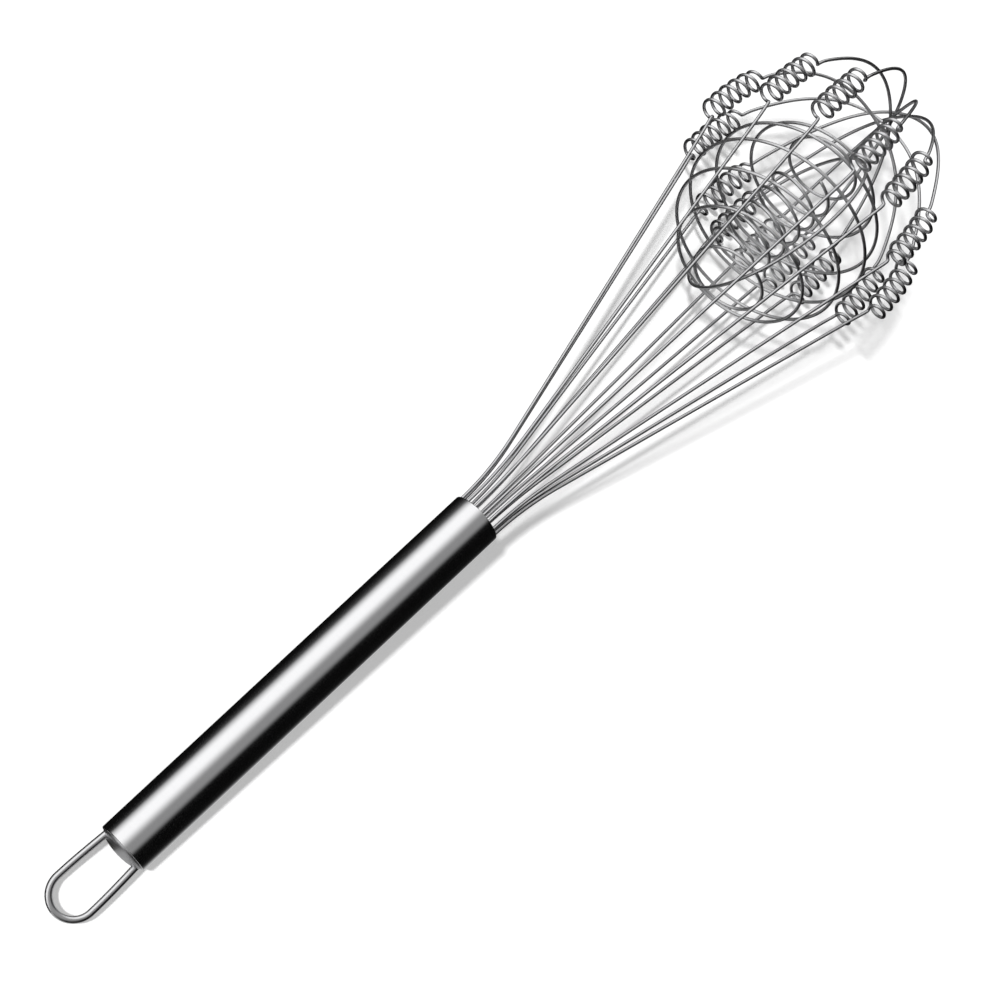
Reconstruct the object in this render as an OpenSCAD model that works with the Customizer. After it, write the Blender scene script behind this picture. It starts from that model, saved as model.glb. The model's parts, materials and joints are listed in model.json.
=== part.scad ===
// Balloon whisk lying on a table: tube handle, seven sprung wires and a loose wire ball.
// Millimetres, +Z up. The whisk axis runs in the XZ plane and rises toward the tip.

/* [Handle] */
// Outside diameter of the handle tube
tube_d = 16; // [14:0.5:20]
// Wall of the handle tube
tube_wall = 0.6; // [0.4:0.1:1]
// Length of the handle tube
tube_len = 134; // [90:1:170]
// Rounding of the two rims of the tube
rim_round = 0.25; // [0.1:0.05:0.3]
// Length of the plug that closes the tail
tail_plug_len = 12; // [8:1:20]
// Gap between a plug and the wall of the tube
plug_gap = 0.05; // [0.02:0.01:0.1]

/* [Hanging loop] */
// Wire of the hanging loop
loop_wire_d = 2.1; // [1.6:0.1:2.6]
// How far the loop stands out of the tail
loop_out = 25; // [18:1:40]
// Distance from the inside of the tube to the loop's wire
loop_edge = 0.4; // [0.3:0.1:1.5]
// Depth of the loop's legs in the tail plug
loop_seat = 8; // [5:1:11]

/* [Balloon wires] */
// Wire of the balloon
wire_d = 1; // [0.8:0.1:1.2]
// Length of each wire's end inside the handle
wire_seat = 20; // [12:1:30]
// Distance from the mouth over which a wire bends outward
flare_len = 24; // [15:1:40]
// Distance from the mouth to the foot of the coils
leg_len = 136; // [105:1:164]
// Radius of the balloon at the foot of the coils
leg_end_r = 36.8; // [30:0.1:45]
// How far the balloon leans to one side at the foot of the coils
sway = 2.5; // [0:0.5:4]
// How much further out the coils of the upper side stand
coil_skew = 5; // [0:0.5:6]
// Height of the lowest of the nested crown arcs above the coils
crown_h = 22; // [15:0.5:28]
// Step from one crown arc to the next one out
crown_step = 1.4; // [1.3:0.05:1.8]
// Angle at which a wire leaves its coil for the crown
crown_lean = 28; // [15:1:40]

/* [Coils] */
// Outside diameter of a coil
coil_d = 7.6; // [6:0.1:9.2]
// Length of a coil along its own axis
coil_len = 20.5; // [16:0.5:25]
// Whole turns in a coil
coil_turns = 6; // [4:1:6]
// Offset of the coil's axis, outward from the leg
coil_out = 1.3; // [0.5:0.1:2]
// How far the top of a coil leans in toward the axis
coil_lean = 2.6; // [1:0.1:4]

/* [Ball] */
// How much smaller the ball is than the balloon at the foot of the coils
ball_play = 11; // [10.6:0.2:20]
// Wire of the ball
ball_wire_d = 1; // [0.8:0.1:1.2]
// Distance from the middle of the ball to the foot of the coils
ball_back = 6; // [3:0.5:7]
// How far the resting ball lies off the balloon's middle
ball_off = 1.2; // [0.5:0.1:1.3]
// Tilt of the ball's rings from square to the axis
ball_tilt = 15; // [0:1:40]
// Gap at the spots where a ring meets the hoop
weld_gap = 0.04; // [0.02:0.01:0.1]

/* [Inner coil] */
// Outside diameter of the loose coil, as a share of the ball's
inner_wide = 0.32; // [0.24:0.01:0.38]
// Length of the loose coil, as a share of the ball's diameter
inner_long = 0.53; // [0.3:0.01:0.58]
// Turns in the loose coil
inner_turns = 5; // [3:1:7]
// Shift of the loose coil from the middle of the ball, toward the tip
inner_shift = 4; // [0:0.5:5]

/* [Hidden] */
$fn = 64;

// Sides of a swept wire, and steps in a turn of a coil
sides = 6;
turn_steps = 8;
inner_steps = 14;
// A swept wire has the section area of a round one, so its corners stand out a little
corner = sqrt(2 * PI / (sides * sin(360 / sides)));

// Where the two ends of each balloon wire stand round the axis: 0 is up, 90 is toward -Y
wire_turns = [[-4, 171], [17, 188], [43, 203], [80, 235], [110, 262], [140, 302], [155, 328]];
// How much further out than leg_len each of those ends has its coil
wire_reach = [[0, -3], [2.5, -3], [-1.5, -3], [-3, -3], [-1, 0], [1, 2], [0, 4]];
// Which way the balloon sways, and the side on which its coils stand furthest out
sway_turn = -100;
skew_turn = -25;
// Place of each wire's crown arc in the nest, 0 the lowest
crown_place = [3, 2, 5, 1, 0, 4, 6];

tube_in_r = tube_d / 2 - tube_wall;
seat_r = tube_in_r - corner * wire_d / 2 - plug_gap;
coil_r = (coil_d - wire_d) / 2;
coil_top = leg_len + coil_len;
coil_top_r = leg_end_r + coil_out - coil_lean;
// The wire enters and leaves a coil this far from the coil's axis
lead_r = 1.3;
lead_turns = 0.5;
// Direction round the coil's axis in which the leg meets it
lead_angle = 140;
crown_start = coil_top + 1.5;

ball_d = 2 * leg_end_r - ball_play;
ball_r = (ball_d - ball_wire_d) / 2;
ring_r = ball_r - ball_wire_d - weld_gap;
// The resting ball lies on the lower wires, this far round from straight up
ball_side = 226;
ball_side_tilt = -10;
ring_step = 22.5;

inner_d = inner_wide * ball_d;
inner_len = inner_long * ball_d;
inner_r = (inner_d - ball_wire_d) / 2;
inner_reach = ring_r - ball_wire_d / 2 - 0.3;
inner_drop = sqrt(pow(inner_reach, 2) - pow(inner_len / 2 + inner_shift + ball_wire_d, 2))
    - inner_d / 2 - 0.1;

function unit(v) = v / norm(v);
function out(turn) = [0, -sin(turn), cos(turn)];
function across(turn) = [0, -cos(turn), -sin(turn)];
function ease(u) = u * u * (3 - 2 * u);

// Point at distance x along the whisk, r out from its axis and s round it
function at(turn, x, r, s = 0) = [x, 0, 0] + r * out(turn) + s * across(turn);

// How far the balloon has opened at distance x from the mouth, up to 1 at the foot of the coils
function opened(x) =
    (x <= 0 ? 0 : x < flare_len ? x * x / (2 * flare_len) : x - flare_len / 2) / (leg_len - flare_len / 2);

// Radius of a balloon wire's leg at distance x from the mouth
function leg_r(x) = seat_r + (leg_end_r - seat_r) * opened(x);

// The balloon's sway, and its slant toward the upper side
function swayed(x) = sway * opened(x) * out(sway_turn);
function slant(p) = coil_skew * ease(min(1, max(0, p.x / 2 / flare_len))) * (p * out(skew_turn)) / leg_end_r;
function bent(p) = p + [slant(p), 0, 0] + swayed(p.x);

// Radius of a coil's axis, u from 0 at its foot to 1 at its top
function coil_axis_r(u) = leg_end_r + coil_out + u - (coil_lean + 1) * u * u;

// Coil radius grows from the lead-in to the full coil, and shrinks again at the top
function coil_grow(turns) =
    lead_r + (coil_r - lead_r) * ease(min(1, turns / lead_turns, (coil_turns - turns) / lead_turns));

// One end of a balloon wire: seat in the handle, flare, leg and coil
leg_top = leg_len - 3;
leg_x = concat([for (i = [0:5]) flare_len * i / 5], [for (i = [1:4]) flare_len + (leg_top - flare_len) * i / 4]);
function leg_path(turn, reach) = concat(
    [at(turn, -wire_seat, seat_r)],
    [for (x = leg_x) at(turn, x + reach * x / leg_top, leg_r(x))]
);
function coil_path(turn, reach) = [
    for (i = [0:coil_turns * turn_steps])
    let (turns = i / turn_steps)
    let (u = turns / coil_turns)
    let (a = lead_angle + 360 * turns)
    let (g = coil_grow(turns))
    at(turn, leg_len + reach + coil_len * u, coil_axis_r(u) + g * cos(a), coil_axis_s + g * sin(a))
];
coil_axis_s = -lead_r * sin(lead_angle);

function bezier(p, u) =
    pow(1 - u, 3) * p[0] + 3 * u * pow(1 - u, 2) * p[1] + 3 * u * u * (1 - u) * p[2] + pow(u, 3) * p[3];

// Half of a crown arc, from the top of a coil to the middle of the arc
function crown_points(turn, far_turn, reach, place) =
    let (start = at(turn, crown_start + reach, coil_top_r - 0.9))
    let (chord = unit(out(far_turn) - out(turn)))
    let (mid = (out(turn) + out(far_turn)) * coil_top_r * 0.3)
    let (top = [crown_start + crown_h + crown_step * place, 0, 0] + mid)
    [
        start,
        start + 15 * [cos(crown_lean), 0, 0] - 15 * sin(crown_lean) * out(turn),
        top - 18 * chord,
        top
    ];
function crown_path(turn, far_turn, reach, place) =
    let (p = crown_points(turn, far_turn, reach, place))
    [for (i = [0:8]) bezier(p, i / 8)];

function reversed(p) = [for (i = [len(p) - 1:-1:0]) p[i]];
function wire_path(k) =
    let (a = wire_turns[k][0])
    let (b = wire_turns[k][1])
    let (c = crown_place[k])
    let (d = wire_reach[k][0])
    let (e = wire_reach[k][1])
    let (one = concat(leg_path(a, d), coil_path(a, d), crown_path(a, b, d, c)))
    let (other = reversed(concat(leg_path(b, e), coil_path(b, e), crown_path(b, a, e, c))))
    [for (p = concat(one, [for (i = [1:len(other) - 1]) other[i]])) bent(p)];

function tangents(p) = [
    for (i = [0:len(p) - 1]) unit(p[min(i + 1, len(p) - 1)] - p[max(i - 1, 0)])
];
function square_to(n, t) = unit(n - (n * t) * t);
function normals(t) = [
    for (i = 0, n = square_to([0.31, 0.52, 0.8], t[0]);
         i < len(t);
         i = i + 1, n = i < len(t) ? square_to(n, t[i]) : n) n
];

// Where the whisk comes to rest: turned about the lower rim of its tail until a coil touches
wires = [for (k = [0:6]) wire_path(k)];
sweep_r = corner * wire_d / 2;
tilt = max([for (w = wires) for (p = w) atan2(sweep_r - p.z - tube_d / 2, p.x + tube_len)]);
lift = tube_len * sin(tilt) + tube_d / 2 * cos(tilt);
x_high = max([for (w = wires) for (p = w) p.x * cos(tilt) - p.z * sin(tilt)]) + sweep_r;
x_low = -(tube_len + loop_out - loop_wire_d / 2) * cos(tilt) - loop_wire_d / 2;
y_high = max([for (w = wires) for (p = w) p.y]) + sweep_r;
y_low = min([for (w = wires) for (p = w) p.y]) - sweep_r;

// From the whisk's own axis, with the mouth at zero, to the table
module place() {
    translate([-(x_high + x_low) / 2, -(y_high + y_low) / 2, lift])
        rotate([0, -tilt, 0])
            children();
}

// A round wire along a path
module wire(path, d) {
    t = tangents(path);
    n = normals(t);
    rings = len(path);
    points = [
        for (i = [0:rings - 1])
        for (k = [0:sides - 1])
        path[i] + corner * d / 2 * (cos(360 * k / sides) * n[i] + sin(360 * k / sides) * cross(t[i], n[i]))
    ];
    walls = [
        for (i = [0:rings - 2])
        for (k = [0:sides - 1])
        let (j = (k + 1) % sides)
        let (a = i * sides)
        let (b = a + sides)
        each [[a + k, b + k, b + j], [a + k, b + j, a + j]]
    ];
    foot = [for (k = [0:sides - 1]) k];
    head = [for (k = [sides - 1:-1:0]) (rings - 1) * sides + k];
    polyhedron(points = points, faces = concat(walls, [foot, head]));
}

// Cylinder along the whisk's axis, from x to x + l
module bar(x, l, r) {
    translate([x, 0, 0])
        rotate([0, 90, 0])
            cylinder(h = l, r = r);
}

module handle_tube() {
    mid = tube_d / 2 - tube_wall / 2;
    color("silver")
        place()
            rotate([0, -90, 0])
                rotate_extrude($fn = 96)
                    polygon(concat(
                        [[tube_in_r, rim_round], [tube_in_r, tube_len - rim_round]],
                        [for (a = [150:-30:30]) [mid + tube_wall / 2 * cos(a), tube_len - rim_round * (1 - sin(a))]],
                        [[tube_d / 2, tube_len - rim_round], [tube_d / 2, rim_round]],
                        [for (a = [30:30:150]) [mid + tube_wall / 2 * cos(a), rim_round * (1 - sin(a))]]
                    ));
}

// Core that clamps the wires against the tube: one groove for each wire end
module wire_core() {
    groove_r = sweep_r + plug_gap;
    color("dimgray")
        place()
            difference() {
                bar(-wire_seat - 2, wire_seat - 1, tube_in_r - plug_gap);
                for (w = wire_turns)
                    for (turn = w)
                        translate(seat_r * out(turn))
                            bar(-wire_seat - 0.2, wire_seat + 1, groove_r);
            }
}

loop_leg_y = tube_in_r - loop_edge - loop_wire_d / 2;

module tail_plug() {
    color("gray")
        place()
            difference() {
                bar(-tube_len + rim_round, tail_plug_len, tube_in_r - plug_gap);
                for (side = [-1, 1])
                    translate([0, side * loop_leg_y, 0])
                        bar(-tube_len - 1, loop_seat + 1.3, loop_wire_d / 2 + plug_gap);
            }
}

// Loop of thick wire: two straight legs and a half round
module hanging_loop() {
    bend_x = -tube_len - loop_out + loop_wire_d / 2 + loop_leg_y;
    leg = loop_seat - tube_len - bend_x;
    color("silver")
        place()
            union() {
                for (side = [-1, 1])
                    translate([0, side * loop_leg_y, 0])
                        bar(bend_x, leg, loop_wire_d / 2);
                translate([bend_x, 0, 0])
                    rotate_extrude(angle = 180, start = 90)
                        translate([loop_leg_y, 0])
                            circle(d = loop_wire_d, $fn = 32);
            }
}

module balloon_wire(k) {
    color("gainsboro")
        place()
            wire(wires[k], wire_d);
}

ball_at = leg_len - ball_back;
ball_centre = [ball_at, 0, 0] + swayed(ball_at) + ball_off * out(ball_side);

// The ball's own frame: its pole points back toward the handle
module in_ball() {
    translate(ball_centre)
        rotate([-ball_side_tilt, 0, 0])
            rotate([0, -90 + ball_tilt, 0])
                children();
}

// Ring of the ball, k steps round from the pole
module ball_ring(k) {
    color("gainsboro")
        place()
            in_ball()
                translate([0, 0, ring_r * cos(k * ring_step)])
                    rotate_extrude($fn = 96)
                        translate([ring_r * sin(k * ring_step), 0])
                            circle(d = ball_wire_d, $fn = 24);
}

// Hoop that runs over both poles, outside the rings
module ball_hoop() {
    color("gainsboro")
        place()
            in_ball()
                rotate([0, 90, 0])
                    rotate_extrude($fn = 96)
                        translate([ball_r, 0])
                            circle(d = ball_wire_d, $fn = 24);
}

// Loose coil that lies in the bottom of the ball
module inner_coil() {
    steps = inner_turns * inner_steps;
    path = [
        for (i = [0:steps])
        [
            inner_len * (i / steps - 0.5) + inner_shift,
            inner_r * sin(360 * i / inner_steps),
            inner_r * cos(360 * i / inner_steps) - inner_drop
        ] + ball_centre
    ];
    color("gainsboro")
        place()
            wire(path, ball_wire_d);
}

handle_tube();
wire_core();
tail_plug();
hanging_loop();
balloon_wire(0);  // balloon_wire_1
balloon_wire(1);  // balloon_wire_2
balloon_wire(2);  // balloon_wire_3
balloon_wire(3);  // balloon_wire_4
balloon_wire(4);  // balloon_wire_5
balloon_wire(5);  // balloon_wire_6
balloon_wire(6);  // balloon_wire_7
ball_hoop();
ball_ring(1);  // ball_ring_1
ball_ring(2);  // ball_ring_2
ball_ring(3);  // ball_ring_3
ball_ring(4);  // ball_ring_4
ball_ring(5);  // ball_ring_5
ball_ring(6);  // ball_ring_6
ball_ring(7);  // ball_ring_7
inner_coil();
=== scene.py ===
import json
from math import cos, pi, radians, sin

import bpy
import numpy as np
from mathutils import Matrix, Vector


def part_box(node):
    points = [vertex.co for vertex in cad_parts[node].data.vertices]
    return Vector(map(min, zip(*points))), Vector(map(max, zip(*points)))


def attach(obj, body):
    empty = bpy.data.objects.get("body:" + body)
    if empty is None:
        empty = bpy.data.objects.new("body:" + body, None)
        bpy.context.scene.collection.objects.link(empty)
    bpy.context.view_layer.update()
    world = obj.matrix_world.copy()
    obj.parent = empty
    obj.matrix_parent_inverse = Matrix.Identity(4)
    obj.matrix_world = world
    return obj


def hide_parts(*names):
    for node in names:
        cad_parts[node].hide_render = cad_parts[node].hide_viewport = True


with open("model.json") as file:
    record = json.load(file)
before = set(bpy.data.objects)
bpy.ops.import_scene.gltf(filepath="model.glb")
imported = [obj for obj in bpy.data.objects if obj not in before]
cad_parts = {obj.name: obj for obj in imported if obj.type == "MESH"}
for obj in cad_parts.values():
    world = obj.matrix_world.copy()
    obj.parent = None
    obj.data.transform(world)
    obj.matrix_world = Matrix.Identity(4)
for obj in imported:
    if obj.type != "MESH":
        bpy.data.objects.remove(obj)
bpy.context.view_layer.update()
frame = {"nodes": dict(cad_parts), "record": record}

# --- The whisk's own axis -------------------------------------------------------------------
# The whisk lies on a table on the rim of its tail and on its lowest coil, so its axis rises a
# few degrees toward the tip. The grip mount runs along that axis and the hang mount stands
# square to it, so the two give the frame in which the pieces are measured from the mouth.
MM = 0.001
handle_len = 134
mounts = {m["name"]: m for m in frame["record"]["mounts"]}
axis_x = -Vector(mounts["grip"]["axis"]).normalized()
axis_z = Vector(mounts["hang"]["axis"]).normalized()
mouth = Vector(mounts["grip"]["pos_m"]) + axis_x * handle_len / 2 * MM
to_world = Matrix((axis_x, axis_z.cross(axis_x), axis_z)).transposed()


def at_world(p):
    """A point in millimetres from the mouth, or an array of them, to metres in the scene."""
    return np.array(mouth) + np.array(p) @ np.array(to_world).T * MM


def around(turn, r=1.0):
    """The point r out from the axis, turned round it from straight up toward -Y."""
    a = radians(turn)
    return np.array([0.0, -r * sin(a), r * cos(a)])


# --- Camera ---------------------------------------------------------------------------------
# A long lens looks down on the mouth of the handle and leans back toward the tail, so the tip
# is the far end. Its roll lays the whisk from corner to corner of the square frame.
lean = radians(16.5)
roll = radians(43.05)
aim = np.array([8.5, 0, 0])
aside = 1.15
distance = 690

axis = np.array([1.0, 0, 0])
square_up = around(-10)
toward_camera = -sin(lean) * axis + cos(lean) * square_up
along = cos(lean) * axis + sin(lean) * square_up
beside = np.cross(along, toward_camera)
right = cos(roll) * along + sin(roll) * beside
up = sin(roll) * along - cos(roll) * beside

camera_data = bpy.data.cameras.new("camera")
camera_data.lens = 88.8
camera_data.clip_start = 0.01
camera = bpy.data.objects.new("camera", camera_data)
bpy.context.collection.objects.link(camera)
facing = to_world @ Matrix((right, up, toward_camera)).transposed()
place = Vector(at_world(aim - aside * beside + distance * toward_camera))
camera.matrix_world = Matrix.Translation(place) @ facing.to_4x4()
bpy.context.scene.camera = camera
bpy.context.scene.view_settings.view_transform = "Standard"


# --- Room and table -------------------------------------------------------------------------
# A white table in a studio. A long soft box hangs over the whisk's left side and throws the
# broad white band on polished steel. Black curtains stand low on both sides, and the table is
# painted black in reflections apart from a painted glow; together they give steel its dark edges.
# The camera sees the room and the table as plain white, with the soft shadow.
class Value:
    """A socket that takes part in sums: each operator adds one Math node, and | takes the larger."""

    def __init__(self, tree, socket):
        self.tree = tree
        self.socket = socket

    def math(self, operation, *values):
        node = self.tree.nodes.new("ShaderNodeMath")
        node.operation = operation
        for v, slot in zip(values, node.inputs):
            join(self.tree, v, slot)
        return Value(self.tree, node.outputs[0])

    def __add__(self, other):
        return self.math("ADD", self, other)

    def __radd__(self, other):
        return self.math("ADD", other, self)

    def __sub__(self, other):
        return self.math("SUBTRACT", self, other)

    def __rsub__(self, other):
        return self.math("SUBTRACT", other, self)

    def __mul__(self, other):
        return self.math("MULTIPLY", self, other)

    def __rmul__(self, other):
        return self.math("MULTIPLY", other, self)

    def __gt__(self, other):
        return self.math("GREATER_THAN", self, other)

    def __or__(self, other):
        return self.math("MAXIMUM", self, other)


def join(tree, v, slot):
    if isinstance(v, Value):
        tree.links.new(v.socket, slot)
    else:
        slot.default_value = v


class Shader:
    """The node tree of a material, or of the world."""

    def __init__(self, owner):
        owner.use_nodes = True
        self.tree = owner.node_tree

    def node(self, kind, settings=None, stops=(), out=0, **values):
        """Adds a node. Its settings come first, then the stops of its ramp and its sockets."""
        node = self.tree.nodes.new("ShaderNode" + kind)
        for name, v in (settings or {}).items():
            setattr(node, name, v)
        if stops:
            ramp = node.color_ramp.elements
            while len(ramp) < len(stops):
                ramp.new(0.5)
            for stop, (at, level) in zip(ramp, stops):
                stop.position = at
                stop.color = (level, level, level, 1)
        for name, v in values.items():
            slot = int(name[1:]) if name[1:].isdigit() else name.replace("_", " ")
            join(self.tree, v, node.inputs[slot])
        return Value(self.tree, node.outputs[out])

    def end(self, node_name, **values):
        node = self.tree.nodes[node_name]
        for name, v in values.items():
            join(self.tree, v, node.inputs[name.replace("_", " ")])


# The soft box and a grey wall beside it stand round the whisk's axis. Their edges are angles
# from square_up, in degrees toward the right of the handle. Black curtains close the rest.
soft_box = 1.2
box_left = (-95, -50)
box_right = (-30, 10)
wall = 0.25
wall_right = (28, 50)
curtain = 0.002
room = bpy.data.worlds.new("room")
bpy.context.scene.world = room
air = Shader(room)
direction = air.node("TexCoord", out="Generated")
dot = {"operation": "DOT_PRODUCT"}
from_top = air.node("VectorMath", dot, out="Value", _0=direction, _1=to_world @ Vector(square_up))
from_side = air.node("VectorMath", dot, out="Value", _0=direction, _1=to_world @ Vector(beside))
turn = from_side.math("ARCTAN2", from_side, from_top) * (180 / pi)


def soft_edge(start, end, before, after):
    """A level that goes smoothly from before to after between two angles."""
    smooth = {"interpolation_type": "SMOOTHSTEP"}
    return air.node("MapRange", smooth, Value=turn, From_Min=start, From_Max=end, To_Min=before, To_Max=after)


box_part = soft_edge(*box_left, 0, 1) * soft_edge(*box_right, 1, wall)
reflected = box_part * soft_edge(*wall_right, 1, 0) + curtain
in_mirrors = air.node("LightPath", out="Is Glossy Ray")
plain = air.node("LightPath", out="Is Camera Ray") | air.node("LightPath", out="Is Transmission Ray")
# What the white room gives as light, where the camera sees it at 1.
lamp_light = 0.35
level = in_mirrors * reflected * soft_box + (1 - in_mirrors) * (plain * (1 - lamp_light) + lamp_light)
air.end("Background", Color=(1, 1, 1, 1), Strength=level)

# Steel sees the table as a painted reflection: black, with a glow for glossy rays only that stands
# in for the lit table, brighter toward the box on the left, in metres from the whisk's axis, and on
# the right only close under the handle.
seen_light = 0.26
painted_return_reach = 0.0135
painted_return_plateau = 0.016
cloth = bpy.data.materials.new("white_table")
top = Shader(cloth)
spread = top.node("SeparateXYZ", out="Y", Vector=top.node("TexCoord", out="Object")) - mouth.y
mirrored = top.node("LightPath", out="Is Glossy Ray")
# Painted reflection: for glossy rays the table glows brighter toward the box.
painted_box_reflection = top.node("MapRange", Value=spread, From_Min=0.03, From_Max=0.3, To_Min=0.004, To_Max=0.12)
beside_it = 0 - spread
# Painted reflection: a glow close under the handle's right side, which lights the steel's lower edge.
painted_handle_return = spread.math("POWER", spread.math("DIVIDE", painted_return_reach, beside_it | painted_return_plateau), 4) * (beside_it > 0)
seen = top.node("LightPath", out="Is Camera Ray")
top.end(
    "Principled BSDF", Roughness=0.7, Specular_IOR_Level=0.0, Emission_Color=(1, 1, 1, 1),
    Emission_Strength=seen * seen_light + mirrored * (painted_box_reflection + painted_handle_return),
    # In reflections the table is black, so only the painted glow shows there.
    Base_Color=top.node("MixRGB", Fac=mirrored, Color1=(0.8, 0.8, 0.8, 1), Color2=(0, 0, 0, 1)),
)
table_mesh = bpy.data.meshes.new("table")
half_table = 4
corners = [(x * half_table, y * half_table, 0) for x, y in ((-1, -1), (1, -1), (1, 1), (-1, 1))]
table_mesh.from_pydata(corners, [], [(0, 1, 2, 3)])
table_mesh.materials.append(cloth)
table = bpy.data.objects.new("table", table_mesh)
bpy.context.collection.objects.link(table)

key_data = bpy.data.lights.new("key", "SUN")
key_data.energy = 2.6
key_data.angle = radians(4)
key = bpy.data.objects.new("key", key_data)
key.visible_glossy = False
bpy.context.collection.objects.link(key)
key_angle = radians(10.5)
key_side = -0.45 * right + 0.89 * up
to_key = to_world @ Vector(cos(key_angle) * toward_camera + sin(key_angle) * key_side)
key.matrix_world = to_key.to_track_quat("Z", "Y").to_matrix().to_4x4()


# --- Handle tube ----------------------------------------------------------------------------
# Thin stainless tube, cut to length and buffed to a soft mirror, with both rims rolled smooth.
# Buffing leaves hair lines round the tube and faint clouds in the shine.
def steel(name, colour, rough, stretch):
    """Polished steel. stretch gives the hair lines' scale along X, Y and Z."""
    m = bpy.data.materials.new(name)
    s = Shader(m)
    where = s.node("TexCoord", out="Object")
    drawn_out = s.node("Mapping", Vector=where, Scale=stretch)
    lines = s.node("TexNoise", Vector=drawn_out, Scale=1.0, Detail=3.0, Roughness=0.6)
    clouds = s.node("TexNoise", Vector=where, Scale=70.0, Detail=3.0)
    shade = s.node("MapRange", Value=lines, To_Min=0.95, To_Max=1.03)
    s.end(
        "Principled BSDF", Metallic=1.0,
        Base_Color=s.node("CombineColor", Red=shade * colour[0], Green=shade * colour[1], Blue=shade * colour[2]),
        Roughness=s.node("MapRange", Value=clouds * 0.6 + lines * 0.4, To_Min=rough * 0.7, To_Max=rough * 1.35),
        Normal=s.node("Bump", Height=lines, Strength=0.04, Distance=0.0001),
    )
    return m


def built(name, points, faces, material):
    """A smooth mesh from points in millimetres, as an object."""
    mesh = bpy.data.meshes.new(name)
    mesh.from_pydata(at_world(points).tolist(), [], faces)
    mesh.polygons.foreach_set("use_smooth", [True] * len(mesh.polygons))
    mesh.materials.append(material)
    piece = bpy.data.objects.new(name, mesh)
    bpy.context.collection.objects.link(piece)
    return piece


def turned(name, outline, material, sides=192):
    """A lathe-turned piece: outline is a closed list of (distance along, radius)."""
    points = [[x, 0, 0] + around(360 * k / sides, r) for x, r in outline for k in range(sides)]
    n = len(outline)
    faces = []
    for i in range(n):
        j = (i + 1) % n
        for k in range(sides):
            l = (k + 1) % sides
            faces.append((i * sides + k, j * sides + k, j * sides + l, i * sides + l))
    return built(name, points, faces, material)


tube_r = 8
tube_wall = 0.6
rim = tube_wall / 2


def rolled_rim(x, inward):
    """The half round of a rim at x, from the inside of the wall to the outside."""
    angles = np.linspace(pi, 0, 9)
    return [(x + inward * rim * (1 - sin(a)), tube_r - rim + rim * cos(a)) for a in angles]


outline = rolled_rim(0, -1) + [(-1.5, tube_r), (1.5 - handle_len, tube_r)]
outline += rolled_rim(-handle_len, 1)[::-1] + [(-handle_len + 1.5, tube_r - tube_wall), (-1.5, tube_r - tube_wall)]
tube = turned("polished_tube", outline, steel("buffed_tube", (0.80, 0.80, 0.81), 0.17, (5000, 300, 300)))
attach(tube, "root")
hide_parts("handle_tube")


# --- Core and tail plug ---------------------------------------------------------------------
# A dark moulded core holds the wire ends in the mouth. A turned steel plug closes the tail and
# holds the loop's legs; its slightly domed face is satin, from the lathe.
def finish(node, material):
    mesh = frame["nodes"][node].data
    mesh.materials.clear()
    mesh.materials.append(material)


core = bpy.data.materials.new("moulded_core")
s = Shader(core)
speckle = s.node("TexNoise", Vector=s.node("TexCoord", out="Object"), Scale=900.0, Detail=4.0)
s.end(
    "Principled BSDF",
    Base_Color=s.node("ValToRGB", stops=[(0.3, 0.010), (0.7, 0.020)], Fac=speckle),
    Roughness=s.node("MapRange", Value=speckle, To_Min=0.5, To_Max=0.7),
    Normal=s.node("Bump", Height=speckle, Strength=0.1, Distance=0.0001),
)
finish("wire_core", core)

plug_gap = 0.05
plug_r = tube_r - tube_wall - plug_gap
plug_len = 12
plug_dome = 2
axis_hole = 0.01
plug_end = rim - handle_len
outline = [(plug_len - handle_len, axis_hole), (plug_len - handle_len, plug_r), (plug_end, plug_r)]
for a in np.linspace(0, pi / 2, 16)[1:]:
    outline.append((plug_end - (plug_dome + rim) * sin(a), max(plug_r * cos(a), axis_hole)))
plug = turned("domed_plug", outline, steel("satin_plug", (0.62, 0.62, 0.63), 0.4, (900, 900, 900)))
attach(plug, "root")
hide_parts("tail_plug")


# --- Hanging loop ---------------------------------------------------------------------------
# Thick stainless wire bent to a U and polished. Its two legs are pressed into the tail plug and
# spread a little toward the bend.
def drawn_wire(name, path, r, material, sides=16, closed=False, square_to=(0.31, 0.52, 0.8)):
    """Round wire along a path. Open ends are rounded over."""
    p = np.array(path, float)
    if closed:
        t = np.roll(p, -1, 0) - np.roll(p, 1, 0)
    else:
        t = np.gradient(p, axis=0)
    t = t / np.linalg.norm(t, axis=1)[:, None]
    radii = np.full(len(p), r)
    if not closed:
        p = np.vstack([p[0] - t[0] * r * 0.35, p, p[-1] + t[-1] * r * 0.35])
        t = np.vstack([t[0], t, t[-1]])
        radii = np.concatenate([[r * 0.6], radii, [r * 0.6]])
    angles = 2 * pi * np.arange(sides) / sides
    n = np.array(square_to, float)
    points = []
    for centre, ahead, radius in zip(p, t, radii):
        n = n - np.dot(n, ahead) * ahead
        n = n / np.linalg.norm(n)
        ring = np.outer(np.cos(angles), n) + np.outer(np.sin(angles), np.cross(ahead, n))
        points.append(centre + radius * ring)
    count = len(p)
    faces = []
    for i in range(count if closed else count - 1):
        a, b = i * sides, (i + 1) % count * sides
        for k in range(sides):
            l = (k + 1) % sides
            faces.append((a + k, a + l, b + l, b + k))
    if not closed:
        faces.append(tuple(range(sides - 1, -1, -1)))
        faces.append(tuple((count - 1) * sides + k for k in range(sides)))
    return built(name, np.vstack(points), faces, material)


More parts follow.
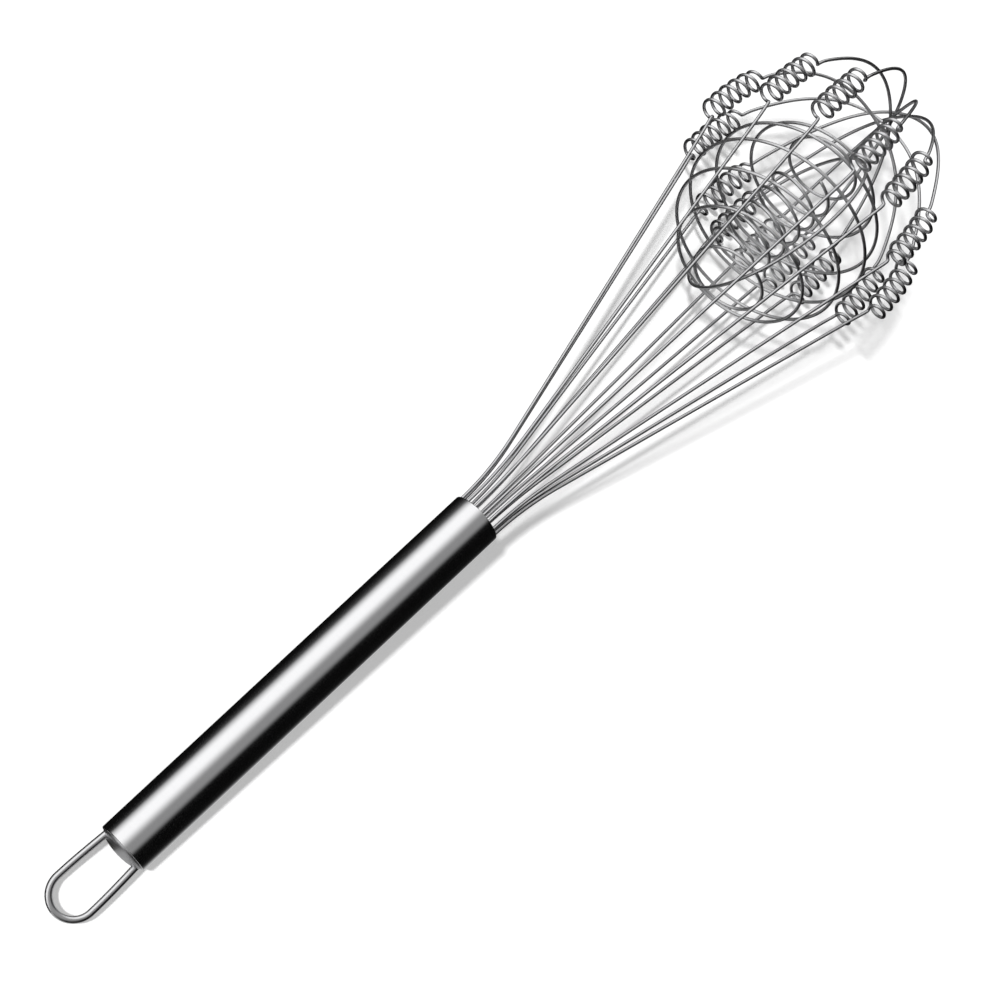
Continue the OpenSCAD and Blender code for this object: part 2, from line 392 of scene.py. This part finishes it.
loop_r = 1.05
loop_leg = 5.95
loop_spread = 0.75
loop_out = 25
loop_seat = 8
wide = loop_leg + loop_spread
bend = -handle_len - loop_out + loop_r + wide
half = [(x, loop_leg) for x in np.linspace(-handle_len + loop_seat, -handle_len, 6)]
for u in np.linspace(0, 1, 20)[1:]:
    half.append((-handle_len + (bend + handle_len) * u, loop_leg + loop_spread * sin(u * pi / 2)))
half += [(bend - wide * sin(a), wide * cos(a)) for a in np.linspace(0, pi / 2, 26)[1:]]
path = [(x, -y, 0) for x, y in half] + [(x, y, 0) for x, y in half[-2::-1]]
loop_steel = steel("polished_loop", (0.78, 0.78, 0.79), 0.28, (300, 1500, 1500))
loop = drawn_wire("loop_wire", path, loop_r, loop_steel, sides=32)
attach(loop, "root")
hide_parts("hanging_loop")


# --- Balloon wires --------------------------------------------------------------------------
# Seven lengths of bright 1 mm spring wire. Each runs from its seat in the core, flares out of
# the mouth, is wound into a close coil near the shoulder, crosses the tip in an arc and comes
# back the same way on the other side.
wire_r = 0.5
seat_len = 20
seat_r = 6.8
flare_len = 24
leg_len = 136
leg_top = leg_len - 3
leg_end_r = 36.8
sway = 2.5
sway_turn = -100
coil_skew = 5
skew_turn = -25
coil_r = 3.3
coil_len = 20.5
coil_turns = 6
coil_out = 1.3
coil_lean = 2.6
lead_r = 1.3
lead_turns = 0.5
lead_angle = 140
crown_start = leg_len + coil_len + 1.5
crown_h = 22
crown_step = 1.4
crown_lean = radians(28)
crown_rise = 15
crown_pull = 18
crown_open = 0.3
coil_top_r = leg_end_r + coil_out - coil_lean

# Where the two ends of each wire stand round the axis, how much further out than leg_len each
# has its coil, and the place of its crown arc in the nest.
wire_turns = [(-4, 171), (17, 188), (43, 203), (80, 235), (110, 262), (140, 302), (155, 328)]
wire_reach = [(0, -3), (2.5, -3), (-1.5, -3), (-3, -3), (-1, 0), (1, 2), (0, 4)]
crown_place = [3, 2, 5, 1, 0, 4, 6]


def across(turn):
    return around(turn + 90)


def spot(turn, x, r, s=0.0):
    """x along the whisk, r out from its axis and s round it, for a wire that stands at turn."""
    return np.array([x, 0, 0]) + r * around(turn) + s * across(turn)


def ease(u):
    return u * u * (3 - 2 * u)


def opened(x):
    """How far the balloon has opened at x from the mouth, up to 1 at the foot of the coils."""
    run = 0 if x <= 0 else x * x / (2 * flare_len) if x < flare_len else x - flare_len / 2
    return run / (leg_len - flare_len / 2)


def bent(p):
    """The whole balloon sways a little to one side, and its upper coils stand further out."""
    lift = coil_skew * ease(min(1, max(0, p[0] / 2 / flare_len))) * np.dot(p, around(skew_turn)) / leg_end_r
    return p + np.array([lift, 0, 0]) + sway * opened(p[0]) * around(sway_turn)


def leg(turn, reach):
    """Seat, flare and straight leg, up to the coil."""
    points = [spot(turn, -seat_len, seat_r), spot(turn, -1, seat_r)]
    for x in np.linspace(0, leg_top, 80):
        points.append(spot(turn, x + reach * x / leg_top, seat_r + (leg_end_r - seat_r) * opened(x)))
    return points


def coil(turn, reach, steps=40):
    """The coil, which grows out of the leg and shrinks back to the crown."""
    points = []
    for i in range(coil_turns * steps + 1):
        turns = i / steps
        u = turns / coil_turns
        a = radians(lead_angle + 360 * turns)
        g = lead_r + (coil_r - lead_r) * ease(min(1, turns / lead_turns, (coil_turns - turns) / lead_turns))
        middle_r = leg_end_r + coil_out + u - (coil_lean + 1) * u * u
        middle_s = -lead_r * sin(radians(lead_angle))
        points.append(spot(turn, leg_len + reach + coil_len * u, middle_r + g * cos(a), middle_s + g * sin(a)))
    return points


def crown(turn, far, reach, place):
    """Half of a crown arc, from the top of a coil to the middle of the arc."""
    start = spot(turn, crown_start + reach, coil_top_r - 0.9)
    chord = around(far) - around(turn)
    chord = chord / np.linalg.norm(chord)
    top = np.array([crown_start + crown_h + crown_step * place, 0, 0])
    top = top + (around(turn) + around(far)) * coil_top_r * crown_open
    lift = start + crown_rise * np.array([cos(crown_lean), 0, 0]) - crown_rise * sin(crown_lean) * around(turn)
    p = [start, lift, top - crown_pull * chord, top]
    return [
        (1 - u) ** 3 * p[0] + 3 * u * (1 - u) ** 2 * p[1] + 3 * u * u * (1 - u) * p[2] + u ** 3 * p[3]
        for u in np.linspace(0, 1, 36)
    ]


def rounded(points, passes=3):
    """Softens the small kinks where one stretch of a wire meets the next."""
    p = np.array(points)
    for _ in range(passes):
        p[1:-1] = p[1:-1] / 2 + (p[:-2] + p[2:]) / 4
    return p


spring_wire = steel("spring_wire", (0.72, 0.72, 0.73), 0.34, (250, 1800, 1800))
for k in range(len(wire_turns)):
    (a, b), (out_a, out_b), place = wire_turns[k], wire_reach[k], crown_place[k]
    one = leg(a, out_a) + coil(a, out_a) + crown(a, b, out_a, place)
    other = leg(b, out_b) + coil(b, out_b) + crown(b, a, out_b, place)[:-1]
    path = rounded([bent(p) for p in one + other[::-1]])
    wire = drawn_wire(f"sprung_wire_{k + 1}", path, wire_r, spring_wire)
    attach(wire, "root")
    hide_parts(f"balloon_wire_{k + 1}")


# --- Ball -----------------------------------------------------------------------------------
# Seven rings of the same wire, spot welded to a hoop that runs over both poles outside them.
# The ball is loose in the balloon. Its poles lie nearly along the whisk.
ball_play = 11
ball_d = 2 * leg_end_r - ball_play
hoop_r = ball_d / 2 - wire_r
ring_r = hoop_r - 2 * wire_r
ring_step = radians(22.5)
rings = range(1, 8)
ball_back = 6
ball_off = 1.2
ball_side = 226
ball_at = leg_len - ball_back
ball_middle = np.array([ball_at, 0, 0]) + sway * opened(ball_at) * around(sway_turn)
ball_middle = ball_middle + around(ball_side, ball_off)
pole_tilt = radians(15)
pole_side = radians(10)
pole = np.array([-cos(pole_tilt), -sin(pole_tilt) * sin(pole_side), sin(pole_tilt) * cos(pole_side)])
in_hoop = np.array([sin(pole_tilt), -cos(pole_tilt) * sin(pole_side), cos(pole_tilt) * cos(pole_side)])
off_hoop = np.cross(pole, in_hoop)
ball_wire = steel("ball_wire", (0.74, 0.74, 0.75), 0.38, (1200, 1200, 1200))


def circle(middle, one, two, r, steps=128):
    turns = [2 * pi * i / steps for i in range(steps)]
    return [middle + r * (cos(a) * one + sin(a) * two) for a in turns]


def ball_piece(piece, node=None):
    """Puts a piece on the ball. A bead has no node of its own to replace."""
    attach(piece, "ball")
    if node:
        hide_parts(node)


path = circle(ball_middle, pole, in_hoop, hoop_r)
hoop = drawn_wire("welded_hoop", path, wire_r, ball_wire, closed=True, square_to=off_hoop)
ball_piece(hoop, "ball_hoop")
for k in rings:
    middle = ball_middle + ring_r * cos(k * ring_step) * pole
    path = circle(middle, in_hoop, off_hoop, ring_r * sin(k * ring_step))
    ring = drawn_wire(f"welded_ring_{k}", path, wire_r, ball_wire, closed=True, square_to=pole)
    ball_piece(ring, f"ball_ring_{k}")

# Each spot weld leaves a small squashed bead between the ring and the hoop.
bead = 0.62
bead_high = 0.42
beads, bead_faces = [], []
rows, cols = 7, 12
for k in rings:
    for side in (-1, 1):
        out = cos(k * ring_step) * pole + side * sin(k * ring_step) * in_hoop
        flat = np.cross(out, off_hoop)
        first = len(beads)
        for i in range(rows + 1):
            for j in range(cols):
                a, b = pi * i / rows, 2 * pi * j / cols
                sideways = sin(a) * (cos(b) * flat + sin(b) * off_hoop) * bead
                beads.append(ball_middle + out * (hoop_r - wire_r + bead_high * cos(a)) + sideways)
        for i in range(rows):
            for j in range(cols):
                one, two = first + i * cols + j, first + i * cols + (j + 1) % cols
                bead_faces.append((one, two, two + cols, one + cols))
bead_steel = steel("weld_bead", (0.62, 0.61, 0.60), 0.3, (1500, 1500, 1500))
ball_piece(built("spot_welds", beads, bead_faces, bead_steel))


# --- Loose coil -----------------------------------------------------------------------------
# Five open turns of the same wire, cut off square, which roll about in the bottom of the ball.
inner_wide = 0.32
inner_long = 0.53
inner_r = inner_wide * ball_d / 2 - wire_r
inner_len = inner_long * ball_d
inner_turns = 5
steps = 56
coil_box = np.array(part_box("inner_coil"))
coil_middle = (coil_box.mean(axis=0) - np.array(mouth)) @ np.array(to_world) / MM
path = []
for i in range(inner_turns * steps + 1):
    a = 2 * pi * i / steps
    path.append(coil_middle + [inner_len * (i / steps / inner_turns - 0.5), inner_r * sin(a), inner_r * cos(a)])
loose = drawn_wire("rolling_coil", path, wire_r, ball_wire)
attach(loose, "loose_coil")
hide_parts("inner_coil")
